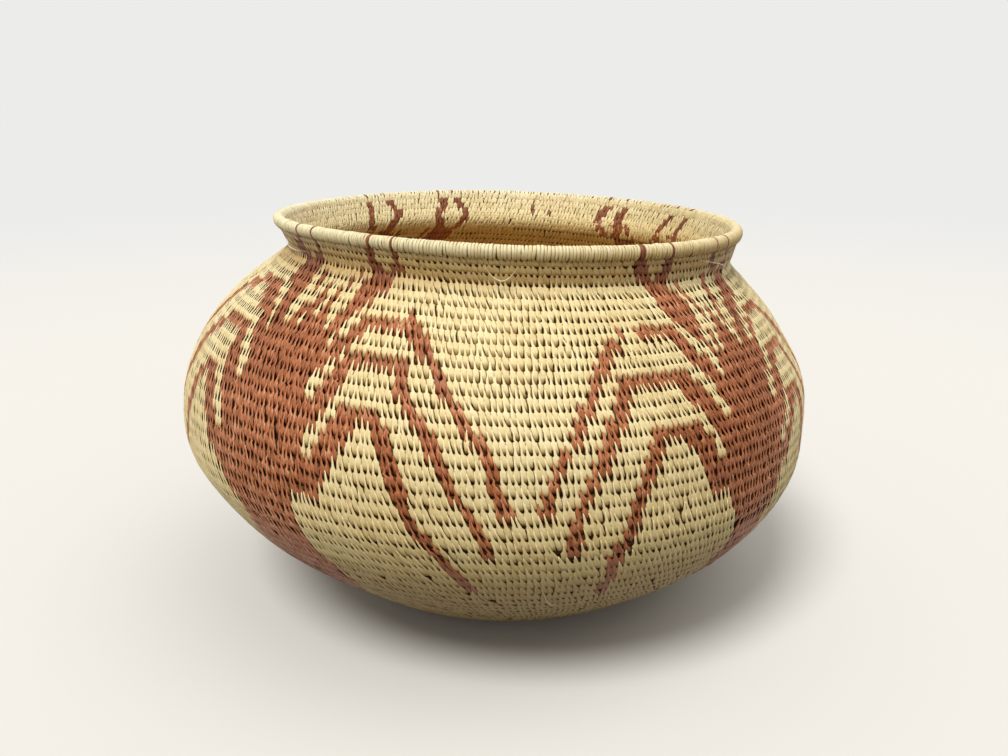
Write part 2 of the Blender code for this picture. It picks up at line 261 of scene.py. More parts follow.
# A stitch's stations from toe to tip: course share, width share of the spacing, lift, thickness.
BODY_STITCH = [
    (-0.06, 0.62, -2.2, 0.22), (0.1, 0.66, -1.5, 0.24), (0.26, 0.74, -0.86, 0.23),
    (0.42, 0.86, -0.48, 0.19), (0.6, 1.14, -0.21, 0.13), (0.92, 1.24, -0.11, 0.1), (1, 0.6, -0.17, 0.17),
    (1.14, 0.48, -0.2, 0.21), (1.48, 0.36, -0.19, 0.19), (1.84, 0.1, -0.26, 0.12),
]
DYED_STITCH = [
    (-0.06, 0.58, -2.3, 0.22), (0.12, 0.66, -1.55, 0.25), (0.3, 0.76, -0.9, 0.24),
    (0.5, 0.92, -0.46, 0.19), (0.68, 1.14, -0.21, 0.13), (0.9, 1.12, -0.13, 0.13),
    (1.04, 0.68, -0.18, 0.19), (1.2, 0.52, -0.22, 0.22), (1.5, 0.38, -0.2, 0.2), (1.92, 0.1, -0.28, 0.12),
]
BELLY_STITCH = [
    (-0.06, 0.62, -1.4, 0.2), (0.06, 0.68, -0.78, 0.21), (0.17, 0.8, -0.42, 0.2),
    (0.31, 0.96, -0.24, 0.18), (0.6, 1.1, -0.16, 0.16), (0.92, 1.14, -0.12, 0.15), (1, 0.7, -0.12, 0.17),
    (1.14, 0.52, -0.11, 0.2), (1.48, 0.38, -0.1, 0.19), (1.84, 0.12, -0.17, 0.12),
]
LOWER_STITCH = [
    (-0.05, 0.76, -0.75, 0.18), (0.06, 0.86, -0.42, 0.19), (0.18, 1, -0.26, 0.18),
    (0.42, 1.12, -0.16, 0.15), (0.91, 1.15, -0.12, 0.14), (1, 0.8, -0.15, 0.17),
    (1.12, 0.64, -0.16, 0.19), (1.42, 0.42, -0.16, 0.17), (1.7, 0.12, -0.24, 0.12),
]
NECK_STITCH = [
    (-0.05, 0.64, -1.4, 0.2), (0.08, 0.72, -0.85, 0.21), (0.2, 0.98, -0.38, 0.16),
    (0.38, 1.24, -0.17, 0.09), (0.9, 1.28, -0.14, 0.09), (1, 0.72, -0.2, 0.16), (1.14, 0.58, -0.24, 0.18),
    (1.42, 0.24, -0.3, 0.14),
]
INNER_STITCH = [
    (-0.05, 0.74, -0.8, 0.16), (0.2, 1.04, -0.3, 0.14), (0.88, 1.18, -0.14, 0.11),
    (1.02, 0.66, -0.18, 0.15), (1.42, 0.14, -0.26, 0.12),
]
INNER_NECK_STITCH = [
    (-0.05, 0.94, -0.26, 0.12), (0.16, 1.12, -0.16, 0.12), (0.9, 1.14, -0.12, 0.12),
    (1.04, 0.8, -0.13, 0.14), (1.5, 0.2, -0.17, 0.11),
]
# The toes show less inside, so the grain there starts further on and their painted shade is lighter.
INNER_GRAIN_START = 0.09
# Along a stitch the grain is the share of its course, plus this, over this.
GRAIN_START = 0.1
GRAIN_REACH = 1.8
SECTION = [(-1, -0.25), (-0.64, 0.66), (0.64, 0.66), (1, -0.25), (0, -0.75)]
FIRST_BELLY_TURN = 30
LAST_BELLY_TURN = 34
FIRST_BODY_TURN = 43
DYED_RESTLESS = 2.6
# How far up a stitch the middle of its visible part lies.
SEEN_SHARE = 0.72

# Inside, the neck is sewn in finer rows, which run from its foot up to the top of the rim.
INNER_NECK_FOOT = 50.6
INNER_NECK_TOP = 53.2
INNER_NECK_ROW = 2.56
INNER_NECK_ROWS = 7
INNER_RIM_RADIUS = 1.98
INNER_NECK_PITCH = 1.7
INNER_RIM_BEND = (-20.0, 75.0)
INNER_WALL_SAMPLES = 24
INNER_RIM_SAMPLES = 12
INNER_NECK_SAMPLES = 60
LOWEST_INNER_ROW = -0.6
HIGHEST_INNER_ROW = INNER_NECK_ROWS - 0.8
INNER_UNEVENNESS = 0.20
INNER_SWING = 0.3
INNER_SWINGS = 5.0
INNER_ROW_SHIFT = 0.22
INNER_LEAN = 0.45
INNER_LEAN_SPREAD = 0.08
# Each dyed line there: half width in degrees, then (degrees, row) from the rim down to the foot.
INNER_LINES = [
    (1.3, [(-132.8, 6.2), (-132, 4), (-130.6, 2), (-131.2, -0.6)]),
    (1.45, [(-139, 6.2), (-140.4, 5), (-142, 3.6), (-141.4, 2.4), (-138.6, 1.2), (-138.6, -0.6)]),
    (1.45, [(-158, 6.2), (-158.8, 5), (-157.6, 4), (-156, 2.6), (-156.2, -0.6)]),
    (1.3, [(-162.4, 6.2), (-163.8, 5), (-165.6, 3.4), (-165.6, 2), (-163, 0.6), (-162, -0.6)]),
    (1.45, [(146.2, 6.2), (147, 5), (149.5, 4), (149.4, 2), (147.4, 0.4), (146.8, -0.6)]),
    (1.45, [(140, 6.2), (140.8, 5), (142.8, 3.8), (141.8, 2.6), (142.6, 1.2), (144.6, -0.6)]),
    (0.6, [(139.2, 2.9), (138, -0.6)]),
    (0.5, [(137, 1.2), (136.6, -0.6)]),
    (1.1, [(120.1, 6.2), (122.7, 5), (125.2, 3.4), (126.4, 1.8), (127.2, -0.6)]),
    (1.1, [(113.9, 6.2), (116, 5), (117.3, 3.4), (117.8, 1.6), (119, -0.6)]),
    (0.5, [(129.6, 1), (129.8, -0.6)]),
    (0.5, [(171.4, 4.9), (171.6, 3.2)]),
    (0.5, [(166.4, 4.4), (166.2, 3.1)]),
]

# The rim's wraps, from their toes on the outside over the top: how far along the neck's direction
# and how far out from the rim's middle, and the width share.
RIM_WRAP = [
    (-2.9, 0.55, 0.55), (-2.45, 1.25, 0.7), (-1.95, 1.72, 0.96), (-1.2, 2, 1.12), (-0.3, 2.12, 1.14),
    (0.6, 2, 1.14), (1.4, 1.58, 1.14), (1.92, 0.84, 1.14), (2.06, 0, 1.14), (1.88, -0.8, 1.12),
    (1.35, -1.5, 1.1), (0.6, -1.95, 1.04), (-0.3, -2.1, 0.6), (-1.3, -2.04, 0.18),
]
RIM_WRAP_THICKNESS = 0.25
# How uneven the wraps are: their widths, their lean over the rim as mean and spread, and spreads of
# the wobble, of the rise of a pair, of a wrap and of a station over this reach, and of the roll.
WRAP_WIDTHS = (0.7, 1.3)
MOST_WRAPS = 2000
WRAP_LEAN = (0.35, 0.25)
WRAP_WOBBLE = 0.03
WRAP_PAIR_RISE = 0.07
WRAP_RISE = 0.03
WRAP_DENT = 0.01
WRAP_REACH = 2.5
WRAP_ROLL = 0.06
# Where the grain starts along a wrap, which gives its toe under the rim some painted shade.
WRAP_GRAIN = 0.16
RIM_SECTION = [(-1, -0.3), (-0.45, 0.75), (0.45, 0.75), (1, -0.3), (0, -0.75)]
# Where the dyed lines cross the rim, in degrees, with the number of wraps in each.
RIM_LINES = [
    [(-53.5, 1), (-47, 1), (-29.6, 1), (-24.1, 1)],
    [(28.3, 2), (36.1, 1), (52.1, 1), (57.9, 1)],
    [(146.2, 1), (140, 1), (120.1, 1), (113.9, 1)],
    [(-132.8, 1), (-139, 1), (-158, 1), (-162.4, 1)],
]


def sample_profile():
    """The arc length of points of the outer skin from the middle of the base, and what lies there:
    the radius, the height and the outward normal."""
    knots = np.array(PROFILE)
    directions = np.concatenate([[(1.0, 0.0)], knots[2:] - knots[:-2], [NECK_TOP_DIRECTION]])
    directions /= np.hypot(*directions.T)[:, None]
    share = np.linspace(0.0, 1.0, PROFILE_SAMPLES + 1)[1:, None]
    rest = 1.0 - share
    curves = [knots[:1]]
    for index, (start, end) in enumerate(zip(knots, knots[1:])):
        reach = np.hypot(*(end - start)) / 3.0
        handle_a = start + directions[index] * reach
        handle_b = end - directions[index + 1] * reach
        curve = rest ** 3 * start + 3.0 * rest ** 2 * share * handle_a
        curves.append(curve + 3.0 * rest * share ** 2 * handle_b + share ** 3 * end)
    curves.append(end + directions[-1:] * PROFILE_EXTENSION)
    path = np.concatenate(curves)
    arcs = np.cumsum([BASE_RADIUS, *np.hypot(*np.diff(path, axis=0).T)])
    tangents = np.gradient(path, arcs, axis=0)
    tangents[0] = directions[0]
    tangents /= np.hypot(*tangents.T)[:, None]
    return arcs, (*path.T, tangents[:, 1], -tangents[:, 0])


ARCS, SKIN = sample_profile()
NECK_FOOT_ARC = ARCS[NECK_FOOT_KNOT * PROFILE_SAMPLES]
NECK_TOP_ARC = ARCS[-2]
BELLY_ARC = BELLY_COURSE * LOWER_PITCH
UPPER_PITCH = (NECK_FOOT_ARC - BELLY_ARC) / (BODY_COURSES - BELLY_COURSE)
NECK_PITCH = (NECK_TOP_ARC - NECK_FOOT_ARC) / (NECK_TOP_COURSE - BODY_COURSES)


# The direction in which the neck ends, as (radius, height), and the one that points out from it.
NECK_ALONG = np.array(NECK_TOP_DIRECTION) / np.hypot(*NECK_TOP_DIRECTION)
NECK_OUT = np.array((NECK_ALONG[1], -NECK_ALONG[0]))


def course_arc(course):
    """Arc length from the middle of the base to places given in courses."""
    course = np.asarray(course, float)
    lower = np.minimum(course, BELLY_COURSE) * LOWER_PITCH
    upper = np.clip(course - BELLY_COURSE, 0.0, BODY_COURSES - BELLY_COURSE) * UPPER_PITCH
    neck = np.maximum(course - BODY_COURSES, 0.0) * NECK_PITCH
    return lower + upper + neck


def skin(course):
    """Radius and height of the outer skin at places given in courses, and its outward normal."""
    arc = course_arc(course)
    radius, height, normal_r, normal_z = (np.interp(arc, ARCS, values) for values in SKIN)
    return np.where(arc <= BASE_RADIUS, arc, radius), height, normal_r, normal_z


def smooth_step(share):
    share = np.clip(share, 0.0, 1.0)
    return share * share * (3.0 - 2.0 * share)


def settle(radius, azimuth, height):
    """Points of the true shape, moved to where the handmade basket has them."""
    x, y, z = np.broadcast_arrays(radius * np.cos(azimuth), radius * np.sin(azimuth), height)
    level = np.clip(z / HEIGHT, 0.0, 1.0)
    shift = np.zeros(level.shape)
    dip = np.zeros(level.shape)
    for (low, low_shift, low_dip), (high, high_shift, high_dip) in zip(LEANS, LEANS[1:]):
        share = smooth_step((level - low) / (high - low))
        shift = shift + (high_shift - low_shift) * share
        dip = dip + (high_dip - low_dip) * share
    away = (np.degrees(np.arctan2(x, -y)) + SAG_MIDDLE) / SAG_REACH
    hollow = np.cos(0.5 * math.pi * np.clip(away, -1.0, 1.0)) ** 2
    sag = SAG * hollow * smooth_step((level - SAG_LEVEL) / SAG_FADE)
    return np.stack([x + shift, y, z - dip * x - sag], -1)


def on_wall(azimuth, course, lift, aside):
    """Points over the skin: aside is a distance along the row, in the direction of the azimuth."""
    radius, height, normal_r, normal_z = skin(course)
    turned = azimuth + aside / np.maximum(radius, SMALLEST_RADIUS)
    return settle(radius + normal_r * lift, turned, height + normal_z * lift)


def wall_thickness(course):
    neck = np.clip(course - BODY_COURSES, 0.0, 1.0)
    return WALL_THICKNESS + (NECK_THICKNESS - WALL_THICKNESS) * neck


def smooth_noise(azimuth, course, waves, rng):
    """A slow wave over the wall, about -1 to 1, with whole waves round the basket."""
    total = np.zeros(np.broadcast(azimuth, course).shape)
    for _ in range(waves):
        round_count = rng.integers(1, MOST_WAVES_ROUND + 1)
        climb = rng.uniform(-STEEPEST_WAVE, STEEPEST_WAVE)
        total = total + np.sin(round_count * azimuth + climb * course + rng.uniform(0.0, TAU))
    return total / math.sqrt(waves)


def inside_outline(x, y, outline):
    """Whether each point lies inside a closed outline."""
    inside = np.zeros(len(x), bool)
    for (x_a, y_a), (x_b, y_b) in zip(outline, outline[1:] + outline[:1]):
        if y_a == y_b:
            continue
        crosses = (y_a > y) != (y_b > y)
        inside ^= crosses & (x < (x_b - x_a) * (y - y_a) / (y_b - y_a) + x_a)
    return inside


def near_line(x, y, line, half_width):
    """Whether each point lies within half_width of a line that runs down the wall."""
    points = np.array(line)[::-1]
    middle = np.interp(y, points[:, 1], points[:, 0])
    return (np.abs(x - middle) < half_width) & (y > points[0, 1]) & (y < points[-1, 1])


def degrees_past(azimuth, axis):
    """Degrees from an axis, itself in degrees from the front, to each azimuth: -180 to 180."""
    return (np.degrees(azimuth - FRONT) - axis + 180.0) % 360.0 - 180.0


def figure_index(azimuth, course):
    """The number of the figure that each stitch belongs to, or -1 for a natural stitch."""
    found = np.full(len(azimuth), -1)
    rows = course_arc(course) / OUTLINE_ROW
    growth = OUTLINE_GROWTH * (rows < OUTLINE_GROWTH_TOP)
    for index, (axis, left_side, right_side, marks) in enumerate(FIGURES):
        away = degrees_past(azimuth, axis)
        dyed = np.zeros(len(away), bool)
        for moved in (away - growth, away + growth):
            dyed |= inside_outline(moved, rows, right_side) & (moved >= 0.0)
            dyed |= inside_outline(-moved, rows, left_side) & (moved < 0.0)
        for half_width, line in marks:
            dyed |= near_line(away, rows, line, half_width)
        found[dyed] = index
    return found


def ahead(places):
    """The next place round the turn for each place."""
    return np.append(places[1:], places[0] + TAU)


def behind(places):
    return np.insert(places[:-1], 0, places[-1] - TAU)


def turn_stitches():
    """For each turn of the coil, its stitches' azimuths from the turn's start, and the tips' azimuths.

    A stitch's tip stands in the gap on the left of the stitch that grew from it in the turn above.
    """
    rng = np.random.default_rng(SEED)
    rows = []
    tips = []
    places = None
    for turn in range(1, TURNS + 1):
        radius = float(skin(turn)[0])
        pitch = NECK_STITCH_PITCH if turn >= BODY_COURSES else STITCH_PITCH
        count = max(FEWEST_STITCHES, round(TAU * radius / pitch))
        if places is None:
            places = np.arange(count) / count * TAU
        parents = np.arange(len(places))
        noise = smooth_noise(places, turn, COLUMN_WANDER_WAVES, np.random.default_rng(SEED + 7))
        swing = COLUMN_SWING * np.cos(COLUMN_SWINGS * (places + TURN_START - FRONT - COLUMN_PHASE))
        drift = COLUMN_DRIFT if turn < NECK_TURN else NECK_DRIFT
        places = places + TAU / count * (drift + COLUMN_WANDER * noise - swing)
        while len(places) != count:
            gaps = ahead(places) - places
            score = gaps * rng.uniform(*CHOICE_RANGE, len(gaps))
            if len(places) < count:
                index = int(np.argmax(score))
                places = np.insert(places, index + 1, places[index] + 0.5 * gaps[index])
                parents = np.insert(parents, index + 1, -1)
            else:
                index = int(np.argmin(score))
                places = np.delete(places, index)
                parents = np.delete(parents, index)
        for _ in range(EVENING_PASSES):
            places = places + EVENING * (0.5 * (ahead(places) + behind(places)) - places)
        shaken = places + rng.uniform(-1.0, 1.0, len(places)) * UNEVENNESS * TAU / count
        if rows:
            tips.append(tip_places(rows[-1], shaken, parents))
        rows.append(shaken)
    tips.append(tip_places(rows[-1], rows[-1] + TAU / count * NECK_DRIFT, np.arange(count)))
    return rows, tips


def tip_places(places, above, parents):
    """Where the tips of a turn's stitches stand: each in a gap between the stitches of the turn above."""
    gap_middle = 0.5 * (above + behind(above))
    tips = np.full(len(places), np.nan)
    grown = parents >= 0
    tips[parents[grown]] = gap_middle[grown]
    for index in np.nonzero(np.isnan(tips))[0]:
        tips[index] = gap_middle[np.argmin(np.abs(gap_middle - places[index]))]
    return tips


def joined(rows):
    """One table of named columns from the tables of the single rows."""
    return {name: np.concatenate([row[name] for row in rows]) for name in rows[0]}


def stitch_table():
    """Every stitch of the wall: turn, toe and tip azimuth, bottom course, span and gap to the next."""
    rng = np.random.default_rng(SEED + 1)
    rows = []
    for turn, (places, tips) in enumerate(zip(*turn_stitches()), 1):
        bottom = turn - START_COURSE + places / TAU
        gaps = ahead(places) - places
        gap = 0.5 * (gaps + np.roll(gaps, 1))
        azimuth = places + TURN_START
        lean = LEAN_SWING * np.cos(LEAN_WAVES * (azimuth - LEAN_PEAK)) * (turn < NECK_TURN)
        rows.append({
            "turn": np.full(len(places), turn),
            "toe": azimuth,
            "tip": tips + TURN_START + (rng.normal(0.0, LEAN_SPREAD, len(places)) - lean) * gap,
            "bottom": bottom,
            "span": NECK_TOP_COURSE - bottom if turn == TURNS else np.ones(len(places)),
            "gap": gap * skin(bottom + 0.5)[0],
        })
    return joined(rows)


STITCHES = stitch_table()
FIGURE_OF = figure_index(
    STITCHES["toe"] + SEEN_SHARE * (STITCHES["tip"] - STITCHES["toe"]),
    STITCHES["bottom"] + SEEN_SHARE * STITCHES["span"],
)


def grain_of(points, tone, across, along, place):
    """What the materials read at each corner: the strand's tone, the corner's place across and along
    the strand, which also set the painted shade at its edges and toe, and a number that gives each strand
    streaks of its own."""
    grain = np.empty(points.shape[:-1] + (4,), np.float32)
    for index, part in enumerate((tone, across, along, place)):
        grain[..., index] = part
    return grain


def strand_points(table, chosen, stations, side, rng, place=on_wall, restless=1.0):
    """Corner points of the chosen stitches, as (stitch, station, corner, xyz), with their grain.

    The last of the three says whether the faces have to be turned over to point out.
    """
    names = ("toe", "tip", "bottom", "span", "gap")
    toe, tip, bottom, span, gap = (table[name][chosen][:, None] for name in names)
    count = len(chosen)
    each = (count, len(stations))
    bottom = bottom + rng.normal(0.0, TOE_SPREAD * restless, (count, 1))
    share, width, lift, thickness = np.array(stations).T[:, None, :]
    stretch = 1.0 + rng.normal(0.0, REACH_SPREAD, (count, 1)) * (share > 1.0)
    along = np.where(share > 1.0, 1.0 + (share - 1.0) * stretch * np.minimum(span, 1.0), share * span)
    along = np.where(span < 1.0, share * span, along)
    course = (bottom + along)[:, :, None]
    half = 0.5 * gap * width * rng.normal(1.0, WIDTH_SPREAD, (count, 1))
    half = (half * rng.normal(1.0, BULGE_SPREAD, each))[:, :, None]
    drift = (toe + (tip - toe) * share)[:, :, None]
    wobble = (rng.normal(0.0, WOBBLE_SPREAD * restless, each) * gap)[:, :, None]
    height = lift + rng.normal(0.0, LIFT_SPREAD, (count, 1)) + rng.normal(0.0, DENT_SPREAD, each)
    height = height[:, :, None]
    if side < 0:
        height = -wall_thickness(course) - height
    across, up = np.array(SECTION).T
    roll = rng.normal(0.0, ROLL_SPREAD, (count, 1, 1))
    raised = side * (thickness[:, :, None] * up + roll * half * across) + height
    points = place(drift, course, raised, half * across + wobble)
    inner = side < 0 or place is not on_wall
    tone = rng.uniform(0.0, 1.0, (count, 1, 1))
    seen = (share[:, :, None] + GRAIN_START) / GRAIN_REACH + (INNER_GRAIN_START if inner else 0.0)
    own = rng.uniform(0.0, 1.0, (count, 1, 1))
    return points, grain_of(points, tone, 0.5 + 0.5 * across, seen, own), not inner


def strand_piece(name, batches, material, replaced):
    """One piece of many closed strands, each with its own cell on the map."""
    cells = math.ceil(math.sqrt(sum(len(batch[0]) for batch in batches)))
    size = CELL_SHARE / cells
    all_points, all_grain, all_loops, all_counts, all_uv = [], [], [], [], []
    first_vertex = 0
    first_cell = 0
    for points, grain, turned_over in batches:
        count, stations, corners = points.shape[:3]
        order = slice(None, None, -1 if turned_over else 1)
        strand = np.arange(count)[:, None, None] * (stations * corners) + first_vertex
        station = np.arange(stations - 1)[:, None]
        corner = np.arange(corners)
        beside = (corner + 1) % corners
        here = strand + station * corners
        there = here + corners
        quads = np.stack([here + corner, here + beside, there + beside, there + corner], -1)
        start_cap = strand[:, 0] + corner[::-1]
        end_cap = strand[:, 0] + (stations - 1) * corners + corner

        cell = np.arange(count) + first_cell
        low = (np.stack([cell % cells, cell // cells], -1) + CELL_MARGIN)[:, None] / cells
        place = np.stack(np.broadcast_arrays(corner, station), -1)[..., None, :]
        tile = np.array((SIDE_SHARE / corners, 1.0 / (stations - 1)))
        quad_uv = low[:, None, None] + (place + TILE_CORNERS) * tile * size
        turn = corner / corners * TAU
        ring = END_RADIUS * np.stack([np.cos(turn), np.sin(turn)], -1)
        start_uv = low + (START_CENTRE + ring[::-1]) * size
        end_uv = low + (END_CENTRE + ring) * size

        for faces, face_uv in ((quads, quad_uv), (start_cap, start_uv), (end_cap, end_uv)):
            faces = faces.reshape(-1, faces.shape[-1])[:, order]
            all_loops.append(faces.ravel())
            all_counts.append(np.full(len(faces), faces.shape[1]))
            all_uv.append(face_uv.reshape(*faces.shape, 2)[:, order].reshape(-1, 2))
        all_points.append(points.reshape(-1, 3))
        all_grain.append(grain.reshape(-1, 4))
        first_vertex += count * stations * corners
        first_cell += count
    loops = np.concatenate(all_loops).astype(np.int32)
    counts = np.concatenate(all_counts).astype(np.int32)
    mesh = bpy.data.meshes.new(name)
    mesh.vertices.add(first_vertex)
    mesh.vertices.foreach_set("co", (np.concatenate(all_points) * MM).astype(np.float32).ravel())
    mesh.loops.add(len(loops))
    mesh.loops.foreach_set("vertex_index", loops)
    mesh.polygons.add(len(counts))
    mesh.polygons.foreach_set("loop_start", np.cumsum(counts, dtype=np.int32) - counts)
    mesh.update(calc_edges=True)
    mesh.polygons.foreach_set("use_smooth", np.ones(len(counts), bool))
    layer = mesh.uv_layers.new(name="OFBake")
    layer.uv.foreach_set("vector", np.concatenate(all_uv).astype(np.float32).ravel())
    attribute = mesh.attributes.new("grain", "FLOAT_COLOR", "POINT")
    attribute.data.foreach_set("color", np.concatenate(all_grain).astype(np.float32).ravel())
    mesh.materials.append(material)
    obj = bpy.data.objects.new(name, mesh)
    bpy.context.scene.collection.objects.link(obj)
    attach(obj, "root")
    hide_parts(*replaced)


def tube_batch(path, radius_u, radius_v, side_u, side_v, corners, along, across=None):
    """One closed tube along a path, with the section's two radii and directions."""
    turn = np.arange(corners) / corners * TAU
    ring_u = (np.cos(turn) * np.reshape(radius_u, (-1, 1)))[..., None]
    ring_v = (np.sin(turn) * np.reshape(radius_v, (-1, 1)))[..., None]
    points = path[:, None, :] + ring_u * side_u[:, None, :] + ring_v * side_v[:, None, :]
    across = turn / TAU if across is None else across
    grain = grain_of(points, 0.5, across, np.reshape(along, (-1, 1)), 0.5)
    return points[None], grain[None], False


def level_tube(radius, azimuth, height, radius_u, radius_v, corners, along):
    """A closed tube that runs level round the basket's middle."""
    flat = 0.0 * azimuth
    outward = np.stack([np.cos(azimuth), np.sin(azimuth), flat], -1)
    upward = np.stack([flat, flat, flat + 1.0], -1)
    return tube_batch(settle(radius, azimuth, height), radius_u, radius_v, outward, upward, corners, along)


def unit(vectors):
    return vectors / np.linalg.norm(vectors, axis=-1, keepdims=True)


def path_normals(first, second):
    """Unit normals on the left of a path given by two coordinates."""
    slope_a = np.gradient(first)
    slope_b = np.gradient(second)
    length = np.hypot(slope_a, slope_b)
    return -slope_b / length, slope_a / length


def inner_neck_path():
    """The neck's inside from its foot to the rim's top: radius, height, normals and arc length."""
    course = np.linspace(INNER_NECK_FOOT - 1.0, INNER_NECK_TOP, INNER_WALL_SAMPLES)
    radius, height, normal_r, normal_z = skin(course)
    thick = wall_thickness(course)
    wall = np.stack([radius - normal_r * thick, height - normal_z * thick], 1)
    bend = np.radians(np.linspace(*INNER_RIM_BEND, INNER_RIM_SAMPLES))[:, None]
    outward = NECK_ALONG * np.sin(bend) - NECK_OUT * np.cos(bend)
    path = np.concatenate([wall, (RIM_RADIUS, ROLL_HEIGHT) + INNER_RIM_RADIUS * outward])
    arcs = np.concatenate([[0.0], np.cumsum(np.hypot(*np.diff(path, axis=0).T))])
    foot = np.interp(INNER_NECK_FOOT, course, arcs[:len(course)])
    even = np.linspace(0.0, arcs[-1], INNER_NECK_SAMPLES)
    radius, height = (np.interp(even, arcs, values) for values in path.T)
    return radius, height, *path_normals(radius, height), even - foot


INNER_NECK = inner_neck_path()


def on_inner_neck(azimuth, row, lift, aside):
    """Points over the neck's inside: row counts its own rows up from the foot."""
    *path, arcs = INNER_NECK
    radius, height, normal_r, normal_z = (np.interp(row * INNER_NECK_ROW, arcs, values) for values in path)
    return settle(radius + normal_r * lift, azimuth + aside / radius, height + normal_z * lift)


def inner_neck_table():
    """The stitches of the neck's inside, and the number of the figure that each belongs to."""
    rng = np.random.default_rng(SEED + 9)
    count = round(TAU * RIM_RADIUS / INNER_NECK_PITCH)
    pitch = TAU / count
    column = np.arange(count)
    rows = []
    for row in range(-1, INNER_NECK_ROWS):
        swing = INNER_SWING * np.sin(INNER_SWINGS * column * pitch + row)
        shaken = rng.uniform(-1.0, 1.0, count) * INNER_UNEVENNESS + swing
        toe = (column + shaken + INNER_ROW_SHIFT * row) * pitch
        lean = (INNER_LEAN + rng.normal(0.0, INNER_LEAN_SPREAD, count)) * pitch
        rows.append({
            "toe": toe + TURN_START,
            "tip": toe - lean + TURN_START,
            "bottom": np.clip(row + toe / TAU, LOWEST_INNER_ROW, HIGHEST_INNER_ROW),
            "span": np.ones(count),
            "gap": np.full(count, pitch * RIM_RADIUS),
        })
    table = joined(rows)
    degrees = degrees_past(0.5 * (table["toe"] + table["tip"]), 0.0)
    figure = np.full(len(degrees), -1)
    for half_width, line in INNER_LINES:
        near = near_line(degrees, table["bottom"] + 0.5, line, half_width)
        figure[near] = BACK_LEFT if line[0][0] < 0.0 else BACK_RIGHT
    return table, figure


INNER_NECK_STITCHES, INNER_NECK_FIGURE = inner_neck_table()


def foundation_batches():
    """The long bundle under the stitches, and the rim's own bundle."""
    azimuth = np.arange(TURNS * BUNDLE_STEPS + 1) / BUNDLE_STEPS * TAU
    bottom = START_COURSE + azimuth / TAU
    middle = np.minimum(bottom + 0.5, 0.5 * (bottom + NECK_TOP_COURSE))
    spin = azimuth + TURN_START
    pitch = course_arc(middle + 0.5) - course_arc(middle - 0.5)
    half_height = np.minimum(0.5 * pitch, 0.5 * (course_arc(NECK_TOP_COURSE) - course_arc(bottom)))
    half_height = (np.maximum(half_height, BUNDLE_LEAST) + BUNDLE_OVERLAP) / math.sin(TAU / BUNDLE_CORNERS)
    thick = np.where(middle > BODY_COURSES, NECK_THICKNESS, WALL_THICKNESS)
    centre = on_wall(spin, middle, -0.5 * thick, 0.0)
    side_u = unit(on_wall(spin, middle, 0.0, 0.0) - centre)
    side_v = unit(on_wall(spin, middle + BUNDLE_STEP_UP, -0.5 * thick, 0.0) - centre)
    along = BUNDLE_GRAIN * np.arange(len(centre))
    half_width = 0.5 * thick - BUNDLE_DEPTH
    spiral = tube_batch(centre, half_width, half_height, side_u, side_v, BUNDLE_CORNERS, along)
    ring = np.linspace(0.0, TAU, RIM_STEPS + 1)
    core = (ROLL_CORE_RADIUS, ROLL_CORE_RADIUS)
    return [spiral, level_tube(RIM_RADIUS, ring, ROLL_HEIGHT, *core, RIM_CORNERS, along[:len(ring)])]


def knot_batch():
    """The start of the coil: one thick strand wound flat, which closes the middle of the base."""
    spin = np.linspace(0.0, KNOT_WINDINGS * TAU, KNOT_WINDINGS * KNOT_STEPS)
    radius = KNOT_START + KNOT_PITCH * spin / TAU
    height = 0.5 * WALL_THICKNESS
    return level_tube(radius, spin, height, KNOT_HALF_WIDTH, KNOT_HALF_HEIGHT, KNOT_CORNERS, KNOT_GRAIN)


def rim_wraps():
    """The close wrapping of the rim: points, grain and the wraps' azimuths."""
    rng = np.random.default_rng(SEED + 5)
    circumference = TAU * RIM_RADIUS
    widths = rng.uniform(*WRAP_WIDTHS, MOST_WRAPS) * RIM_WRAP_PITCH
    count = int(np.searchsorted(np.cumsum(widths), circumference))
    widths = widths[:count] * circumference / widths[:count].sum()
    azimuth = (np.cumsum(widths) - 0.5 * widths) / RIM_RADIUS + TURN_START
    widths = widths[:, None]
    along, out, share = np.array(RIM_WRAP).T[:, None, :]
    stations = len(RIM_WRAP)
    each = (count, stations)
    side, up = np.array(RIM_SECTION).T
    step = np.linspace(-1.0, 1.0, stations)
    drift = rng.normal(*WRAP_LEAN, (count, 1)) * widths * step + rng.normal(0.0, WRAP_WOBBLE, each)
    half = (0.5 * widths * share * rng.normal(1.0, WIDTH_SPREAD, each))[:, :, None]
    pairs = np.repeat(rng.normal(0.0, WRAP_PAIR_RISE, count // 2 + 1), 2)[:count, None]
    rises = pairs + rng.normal(0.0, WRAP_RISE, (count, 1)) + rng.normal(0.0, WRAP_DENT, each)
    swell = 1.0 + rises / WRAP_REACH
    roll = rng.normal(0.0, WRAP_ROLL, (count, 1, 1))
    rise = RIM_WRAP_THICKNESS * up + roll * side * half
    normal_along, normal_out = path_normals(along[0], out[0])
    along = (along * swell)[:, :, None] + normal_along[None, :, None] * rise
    out = (out * swell)[:, :, None] + normal_out[None, :, None] * rise
    radius = ROLL_RADIUS + NECK_ALONG[0] * along + NECK_OUT[0] * out
    height = ROLL_HEIGHT + NECK_ALONG[1] * along + NECK_OUT[1] * out
    turned = azimuth[:, None, None] + (drift[:, :, None] + half * side) / RIM_RADIUS
    points = settle(radius, turned, height)
    tone = rng.uniform(0.0, 1.0, (count, 1, 1))
    seen = (WRAP_GRAIN + (1.0 - WRAP_GRAIN) * np.arange(stations) / stations)[:, None]
    own = rng.uniform(0.0, 1.0, (count, 1, 1))
    return points, grain_of(points, tone, 0.5 + 0.5 * side, seen, own), azimuth


